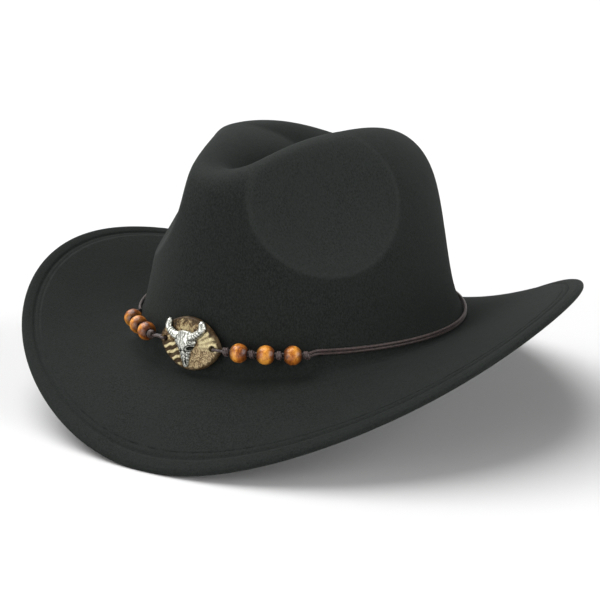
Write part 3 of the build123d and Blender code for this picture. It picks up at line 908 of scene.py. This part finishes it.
def loop_line(side, knot):
    """The cord's loop: out of the knot, over the medallion's rim, into its hole and back behind."""
    to_local = MEDALLION_FRAME.inverted()
    local_knot = np.array(to_local @ (Vector(knot) * MM)) / MM
    tip, hole, half = MEDALLION_LENGTH / 2, HOLE_SPAN / 2, STRAND / 2
    over, behind = half + 0.15, -half - 0.2
    points = [
        (local_knot[0] - side * 1.0, local_knot[1], local_knot[2] + 0.4),
        (side * (tip + 0.9), 0.0, dome(tip) + over - 0.2),
        (side * (tip - 1.4), 0.0, dome(tip) + over + 0.25),
        (side * (hole + 1.4), 0.0, dome(hole) + over + 0.1),
        (side * (hole + 0.6), 0.0, dome(hole) - 0.4),
        (side * (hole + 0.6), 0.0, 0.6),
        (side * (hole + 1.0), 0.0, behind),
        (side * (tip - 0.5), 0.0, behind),
        (side * (tip + 1.2), 0.0, 0.1),
        (local_knot[0] - side * 1.0, local_knot[1], local_knot[2] - 0.4),
    ]
    world = [np.array(MEDALLION_FRAME @ (Vector(point) * MM)) / MM for point in points]
    return smooth_line(world, 0.3)


def rear_knot():
    """The two cords tied together at the back, as two wound coils."""
    reach = LOOP_LENGTH / 2
    middle = band_point(reach, 3.2 + CORD_GAP)
    along_band = band_point(reach - 0.5, 0) - band_point(reach + 0.5, 0)
    axis = unit(along_band)
    tubes = []
    for wraps, phase in ((3.6, 0.4), (2.4, 2.6)):
        rings = knot_rings(middle, axis, wraps, phase)
        tubes.append(middle + (rings - middle) * REAR_KNOT_SWELL)
    made = cord_object("rear_cord_knot", tubes)
    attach(made, "hatband")
    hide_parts("rear_knot")


def bead_profile():
    """Outline of a bead from bore to bore: radius and place along its axis."""
    bore = BEAD_BORE / 2
    lip = 0.5
    start = np.arcsin((bore + lip) / (BEAD / 2))
    polar = np.linspace(start, pi - start, 40)
    body = [(BEAD / 2 * np.sin(a), BEAD / 2 * np.cos(a)) for a in polar]
    end = body[0][1]
    lips = [(bore + lip * (1 - np.sin(a)), end - lip * (1 - np.cos(a))) for a in np.linspace(0.2, pi / 2, 6)]
    mirrored = [(radius, -place) for radius, place in lips]
    return [*reversed(lips), *body, *mirrored]


def bead(side, index):
    """A turned and varnished wooden bead, with its own piece of the grain."""
    word = SIDES[side]
    name = f"{word}_bead_{index}"
    middle, axis = joint(name + "_spin")
    angles = np.linspace(0, 2 * pi, 64, endpoint=False)
    profile = np.array(bead_profile())
    rings = [
        np.stack([radius * np.cos(angles), radius * np.sin(angles), 0 * angles + place], -1)
        for radius, place in profile
    ]
    made = loft_object(name + "_wood", rings, BEAD_LOOK, close_rows=True)
    random = np.random.default_rng(17 * index + side)
    points = np.concatenate(rings)
    lean = Matrix.Rotation(random.uniform(-0.7, 0.7), 3, "X")
    grain = points @ np.array(lean) * MM + random.uniform(-0.05, 0.05, 3)
    store(made, "grain", grain)
    ends = np.clip((np.abs(points[:, 2]) - 1.6) / 2.9, 0, 1)
    store(made, "end", ends)
    made.matrix_world = frame_matrix(middle, Vector(axis).orthogonal(), axis)
    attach(made, name)
    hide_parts(name)


# ---- medallion and skull

TIP_MIDDLE = MEDALLION_LENGTH / 2 - MEDALLION_TIP
SIDE_RADIUS = TIP_MIDDLE**2 + (MEDALLION_HEIGHT / 2) ** 2 - MEDALLION_TIP**2
SIDE_RADIUS = SIDE_RADIUS / (MEDALLION_HEIGHT - 2 * MEDALLION_TIP)
SIDE_DROP = SIDE_RADIUS - MEDALLION_HEIGHT / 2
SHELL_SPACING = 0.28
STRIPE_LEAN = radians(24)
STRIPE_PITCH = 3.7
RAY_DEGREES = 13
CREAM_RELIEF = 0.22
CARVED_DEPTH = 0.4
RIM_ROUNDING = 0.9


def medallion_outline(count=220):
    """The pointed oval of two arcs, with rounded points."""
    angle = np.arctan2(SIDE_DROP, TIP_MIDDLE)  # where tip and side arcs meet
    tip_angles = np.linspace(-angle, angle, 24)
    tip = [(TIP_MIDDLE + MEDALLION_TIP * cos(a), MEDALLION_TIP * sin(a)) for a in tip_angles]
    side_angles = np.linspace(angle, pi - angle, count // 2)[1:-1]
    arc = [(SIDE_RADIUS * cos(a), SIDE_RADIUS * sin(a) - SIDE_DROP) for a in side_angles]
    half = np.array(tip + arc)
    return np.concatenate([half, -half])


def from_edge(x, y):
    """Distance inside the medallion's outline."""
    side = SIDE_RADIUS - np.hypot(x, np.abs(y) + SIDE_DROP)
    tip = MEDALLION_TIP - np.hypot(np.abs(x) - TIP_MIDDLE, y)
    past = np.abs(y) * TIP_MIDDLE < (np.abs(x) - TIP_MIDDLE) * SIDE_DROP
    return np.where(past, tip, side)


def carving(x, y):
    """Cream, speckled and carved areas of the medallion's face, painted shade round its cord holes, and its
    relief.
    """
    across = y * cos(STRIPE_LEAN) - x * sin(STRIPE_LEAN)
    left = smooth_step(-3.5, -5.5, x) * smooth_step(1.5, 0.0, y - 0.25 * x - 2)
    stripe = np.cos(2 * pi * (across - 2.6 + 0.25 * np.sin(1.1 * x)) / STRIPE_PITCH)
    cream = left * smooth_step(0.15, 0.5, stripe)
    carved = left * smooth_step(0.25, -0.1, stripe) * 0.9
    turn = np.degrees(np.arctan2(y + 1.5, x - 1.0))
    reach = np.hypot(x - 1.0, y + 1.5)
    fan = smooth_step(6, 8.5, reach) * smooth_step(-4, 6, turn) * smooth_step(56, 48, turn)
    ray = np.cos(2 * pi * turn / RAY_DEGREES + 0.6)
    cream = np.maximum(cream, fan * (0.35 + 0.65 * smooth_step(-0.7, 0.1, ray)))
    outer = smooth_step(3.4, 2.2, from_edge(x, y)) * smooth_step(8, 12, x) * smooth_step(2, 4, y)
    carved = np.maximum(carved, 0.85 * outer * smooth_step(0.3, -0.4, ray))
    speckled = smooth_step(1, 3.5, x - 0.3 * y) * smooth_step(1.0, -1.5, y)
    hole = np.hypot(np.abs(x) - HOLE_SPAN / 2, y)
    # painted shade: the shell made dark just round and in each cord hole
    carved = np.where(hole < HOLE / 2 + 0.3, 0.95, carved)
    relief = CREAM_RELIEF * cream - CARVED_DEPTH * carved * (hole > HOLE / 2 + 0.6)
    return cream, carved, speckled, relief


def medallion_plan():
    """Points in plan and triangles of the disc with its two cord holes."""
    outline = medallion_outline()
    ring_turns = np.linspace(0, 2 * pi, 36, endpoint=False)
    holes = [
        np.stack([x + HOLE / 2 * np.cos(ring_turns), HOLE / 2 * np.sin(ring_turns)], -1)
        for x in HOLE_PLACES
    ]
    xs = np.arange(-MEDALLION_LENGTH / 2, MEDALLION_LENGTH / 2, SHELL_SPACING)
    ys = np.arange(-MEDALLION_HEIGHT / 2, MEDALLION_HEIGHT / 2, SHELL_SPACING)
    grid = np.stack(np.meshgrid(xs, ys), -1).reshape(-1, 2)
    grid += 0.04 * np.sin(grid[:, ::-1] * 7.1)
    inside = from_edge(grid[:, 0], grid[:, 1]) > 0.25
    for x in HOLE_PLACES:
        inside &= np.hypot(grid[:, 0] - x, grid[:, 1]) > HOLE / 2 + 0.15
    loops = [outline, *holes]
    flat = np.concatenate([*loops, grid[inside]])
    edges, used = [], 0
    for loop in loops:
        edges += [(used + i, used + (i + 1) % len(loop)) for i in range(len(loop))]
        used += len(loop)
    found = delaunay_2d_cdt([Vector(p) for p in flat], edges, [], 1, 1e-5)
    flat = np.array([tuple(p) for p in found[0]])
    triangles = []
    for face in found[2]:
        x, y = flat[list(face)].mean(0)
        if np.hypot(abs(x) - HOLE_SPAN / 2, y) > 0.98 * HOLE / 2:
            triangles.append(tuple(face))
    return flat, triangles


def build_medallion():
    """Domed shell disc with carved bands and rays, two cord holes and a rounded rim."""
    flat, triangles = medallion_plan()
    x, y = flat[:, 0], flat[:, 1]
    cream, carved, speckled, relief = carving(x, y)
    border = from_edge(x, y)
    rounding = RIM_ROUNDING * np.clip(1 - border / RIM_ROUNDING, 0, 1) ** 2
    uneven = 0.16 * np.sin(0.9 * x + 1.3) * np.cos(1.1 * y + 0.4) + 0.08 * np.sin(2.3 * x - 1.7 * y)
    front = dome(x, y) + relief * np.clip(border / 1.2, 0, 1) - rounding + uneven
    count = len(flat)
    points = np.concatenate([np.stack([x, y, front], -1), np.stack([x, y, 0.25 * rounding], -1)])
    faces = slab(triangles, count)
    made = add_mesh("carved_medallion", points, faces, shell_material(), MEDALLION_FRAME)
    edge_dark = smooth_step(2.0, 0.8, border + 0.35 * np.sin(1.7 * x + 0.8 * y))
    back = np.full(count, 0.6)
    store(made, "cream", np.concatenate([cream * (1 - edge_dark), 0 * cream]))
    store(made, "speckled", np.concatenate([speckled, 0 * cream]))
    store(made, "carved", np.concatenate([np.maximum(carved, 0.85 * edge_dark), back]))
    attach(made, "medallion")
    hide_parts("medallion")


SKULL_TILT = radians(4.5)
SKULL_SHIFT = -1.1
HORN_PATH = ((4.6, 3.6), (8.2, 5.2), (10.8, 7.4), (11.3, 9.4), (10.8, 11.4))
SKULL_SPACING = 0.14
LEAST_RELIEF = 0.02
HEAD_LEVELS = (-12.6, -12.2, -11, -9.4, -6, -4, -3.0, -1.0, 1.0, 3.0, 4.5, 5.7, 6.6, 7.1)
HEAD_HALF_WIDTHS = (0.0, 1.4, 2.0, 2.4, 3.3, 4.0, 4.9, 6.5, 7.1, 6.7, 6.2, 5.5, 3.8, 0.0)
HEAD_RISE_LEVELS = (-12.6, -9, -4, 0.5, 4, 7.1)
HEAD_RISES = (1.5, 2.1, 2.7, 3.4, 3.2, 2.2)
HORN_SHARES = (0, 0.3, 0.8, 0.95, 1)
HORN_RADII = (2.4, 2.25, 1.95, 1.7, 1.3)
HORN_RISE = 1.35


def skull_height(x, y):
    """Height above the medallion's face, place along a horn and distance inside the head's edge."""
    half = np.interp(y, HEAD_LEVELS, HEAD_HALF_WIDTHS)
    edge = half - np.abs(x)
    body = np.clip(edge / np.maximum(half, 0.3), 0, 1)
    rise = np.interp(y, HEAD_RISE_LEVELS, HEAD_RISES)
    height = rise * np.sqrt(np.clip(1 - (1 - body) ** 2.4, 0, 1))
    height = np.where(edge > 0, height, 0)
    line = smooth_line([(px, py, 0) for px, py in HORN_PATH], 0.1)[:, :2]
    share = np.linspace(0, 1, len(line))
    radius = np.interp(share, HORN_SHARES, HORN_RADII)
    along_horn = np.zeros(np.shape(x))
    horn = np.zeros(np.shape(x))
    for middle, size, place in zip(line, radius, share):
        distance = np.hypot(np.abs(x) - middle[0], y - middle[1])
        here = np.sqrt(np.clip(size**2 - distance**2, 0, None)) * HORN_RISE
        better = here > horn
        along_horn = np.where(better, place, along_horn)
        horn = np.maximum(horn, here)
    height = np.maximum(height, horn + 0.4 * (horn > 0))
    return height, along_horn, edge


def build_skull():
    """Steer skull in relief: brow, sockets, nose bone and two curved horns with fine lines."""
    xs = np.arange(-14.2, 14.2, SKULL_SPACING)
    ys = np.arange(-13.2, 15.2, SKULL_SPACING)
    x, y = np.meshgrid(xs, ys)
    height, along_horn, edge = skull_height(x, y)
    side = np.abs(x)
    carved = np.zeros(x.shape)

    def engrave(depth, width, distance):
        nonlocal height, carved
        line = np.exp(-((distance / width) ** 2))
        height = height - depth * line * (height > 0.35)
        carved = np.maximum(carved, line)

    socket = np.hypot((side - 4.1) / 1.9, (y + 2.0 - 0.3 * (side - 4.1)) / 1.0)
    height = height - 1.5 * smooth_step(1.25, 0.5, socket) * (height > 0)
    carved = np.maximum(carved, smooth_step(1.2, 0.8, socket))
    engrave(0.35, 0.25, socket * 1.1 - 1.75)
    nostril = np.hypot((side - 0.9) / 0.55, (y + 9.9) / 1.7)
    height = height - 0.9 * smooth_step(1.2, 0.4, nostril) * (height > 0)
    carved = np.maximum(carved, smooth_step(1.2, 0.7, nostril))
    on_nose = (y < -3.2) & (y > -9.0)
    engrave(0.4, 0.26, np.where(on_nose, side - 1.35 - 0.12 * (y + 6), 9))
    engrave(0.35, 0.22, np.where(on_nose, np.abs(np.mod(y + 0.7 * side, 2.1) - 1.05), 9))
    on_brow = (y > -1.2) & (y < 6.4) & (edge > 0.55)
    for place, bow in ((1.1, 0.03), (3.4, 0.06)):
        curl = side - place - bow * (y - 3.2) ** 2 - 0.35 * np.sin(1.3 * y + place)
        engrave(0.3, 0.17, np.where(on_brow, np.abs(curl), 9))
    swirl = np.hypot(side - 4.9, y - 1.6)
    engrave(0.3, 0.17, np.where(on_brow, np.abs(swirl - 0.8), 9))
    ridged = (along_horn > 0.12) & (along_horn < 0.6)
    engrave(0.2, 0.2, np.where(ridged, np.abs(np.mod(along_horn, 0.13) - 0.065) * 13, 9))
    groove = np.clip(1 - np.abs(height) / 0.5, 0, 1)
    carved = np.maximum(carved, 0.8 * groove)
    base = dome(x, y) - 0.05
    tall = height > LEAST_RELIEF
    keep = tall[:-1, :-1] & tall[1:, :-1] & tall[:-1, 1:] & tall[1:, 1:]
    columns = x.shape[1]
    row, column = np.nonzero(keep)
    first = row * columns + column
    quads = np.stack([first, first + 1, first + columns + 1, first + columns], -1)
    used, quads = np.unique(quads, return_inverse=True)
    quads = quads.reshape(-1, 4).tolist()
    front = np.stack([x, y, base + np.clip(height, LEAST_RELIEF, None)], -1).reshape(-1, 3)[used]
    back = np.stack([x, y, base - LEAST_RELIEF], -1).reshape(-1, 3)[used]
    points = np.concatenate([front, back])
    shade = np.concatenate([carved.ravel()[used], np.ones(len(used))])
    tilt = Matrix.Rotation(SKULL_TILT, 4, "Z")
    shift = Matrix.Translation(Vector((SKULL_SHIFT, 0, 0)) * MM)
    faces = slab(quads, len(used))
    place = MEDALLION_FRAME @ shift @ tilt
    made = add_mesh("silver_skull", points, faces, silver_material(), place)
    store(made, "carved", shade)
    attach(made, "medallion")
    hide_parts("steer_skull")


# ---- camera, lights and floor


def camera():
    """The photograph's view."""
    level = cos(CAMERA_RISE)
    back = Vector((sin(CAMERA_TURN) * level, -cos(CAMERA_TURN) * level, sin(CAMERA_RISE)))
    right = Vector((cos(CAMERA_TURN), sin(CAMERA_TURN), 0))
    up = back.cross(right)
    place = right * CAMERA_AIM[0] + up * CAMERA_AIM[1] + back * CAMERA_DISTANCE
    rolled_right = right * cos(CAMERA_ROLL) + up * sin(CAMERA_ROLL)
    rolled_up = up * cos(CAMERA_ROLL) - right * sin(CAMERA_ROLL)
    data = bpy.data.cameras.new("camera")
    data.lens = LENS
    data.sensor_width = SENSOR
    data.clip_start, data.clip_end = 0.01, 20
    made = bpy.data.objects.new("camera", data)
    turned = Matrix((rolled_right, rolled_up, back)).transposed().to_4x4()
    made.matrix_world = Matrix.Translation(place * MM) @ turned
    bpy.context.scene.collection.objects.link(made)
    bpy.context.scene.camera = made


def sun(name, tilt, turn, spread, power):
    """Soft light from afar: tilt from overhead and turn from the hat's front to its left."""
    data = bpy.data.lights.new(name, "SUN")
    data.energy = power
    data.angle = radians(spread)
    tilt, turn = radians(tilt), radians(turn)
    source = Vector((sin(turn) * sin(tilt), -cos(turn) * sin(tilt), cos(tilt)))
    made = bpy.data.objects.new(name, data)
    made.rotation_mode = "QUATERNION"
    made.rotation_quaternion = source.to_track_quat("Z", "Y")
    bpy.context.scene.collection.objects.link(made)


SKY = 0.1
SKY_FROM = 0.35
HORIZON = 0.9
HORIZON_TO = 0.05
FLOOR_DROP = 0.1
FLOOR_SIZE = 12
SUNS = {  # tilt, turn, spread and power
    "main_light": (25, -90, 60, 3.2),
    "back_light": (50, -120, 40, 0.65),
    "low_front_light": (72, -20, 40, 1.1),
    "low_right_light": (72, 100, 55, 2.2),
}


def sky():
    """Soft light all round, strongest low down."""
    world = bpy.data.worlds.new("studio")
    bpy.context.scene.world = world
    world.use_nodes = True
    tree = world.node_tree
    place = tree.nodes.new("ShaderNodeTexCoord")
    parts = tree.nodes.new("ShaderNodeSeparateXYZ")
    ramp = tree.nodes.new("ShaderNodeValToRGB")
    low, high = ramp.color_ramp.elements
    low.position, low.color = HORIZON_TO, (HORIZON, HORIZON, HORIZON, 1)
    high.position, high.color = SKY_FROM, (SKY, SKY, SKY, 1)
    tree.links.new(place.outputs["Generated"], parts.inputs["Vector"])
    tree.links.new(parts.outputs["Z"], ramp.inputs["Fac"])
    tree.links.new(ramp.outputs["Color"], tree.nodes["Background"].inputs["Color"])


def studio():
    """Plain pale floor and soft light from above and both sides."""
    level = cad_low.z - FLOOR_DROP * MM
    bpy.ops.mesh.primitive_plane_add(size=FLOOR_SIZE, location=(0, 0, level))
    floor = bpy.context.object
    floor.name = "floor"
    paper = Nodes("paper")
    tone = paper.noise(paper.coordinates(), 3, 2)
    paper.set(Base_Color=paper.ramp(tone, (0.3, (0.69, 0.69, 0.69)), (0.7, (0.71, 0.71, 0.71))))
    paper.set(Roughness=0.9)
    floor.data.materials.append(paper.material)
    sky()
    for name, (tilt, turn, spread, power) in SUNS.items():
        sun(name, tilt, turn, spread, power)
    bpy.context.scene.view_settings.view_transform = "Standard"


# ---- making everything

camera()
felt_body()
brim_wire()
hem_stitches()
sweatband()
for side_sign in SIDES:
    hatband_cord(side_sign)
    for bead_index in (1, 2, 3):
        bead(side_sign, bead_index)
rear_knot()
build_medallion()
build_skull()
reed = frame["nodes"]["sweatband_reed"].data.materials
reed.clear()
reed.append(SWEATBAND_LOOK)
studio()
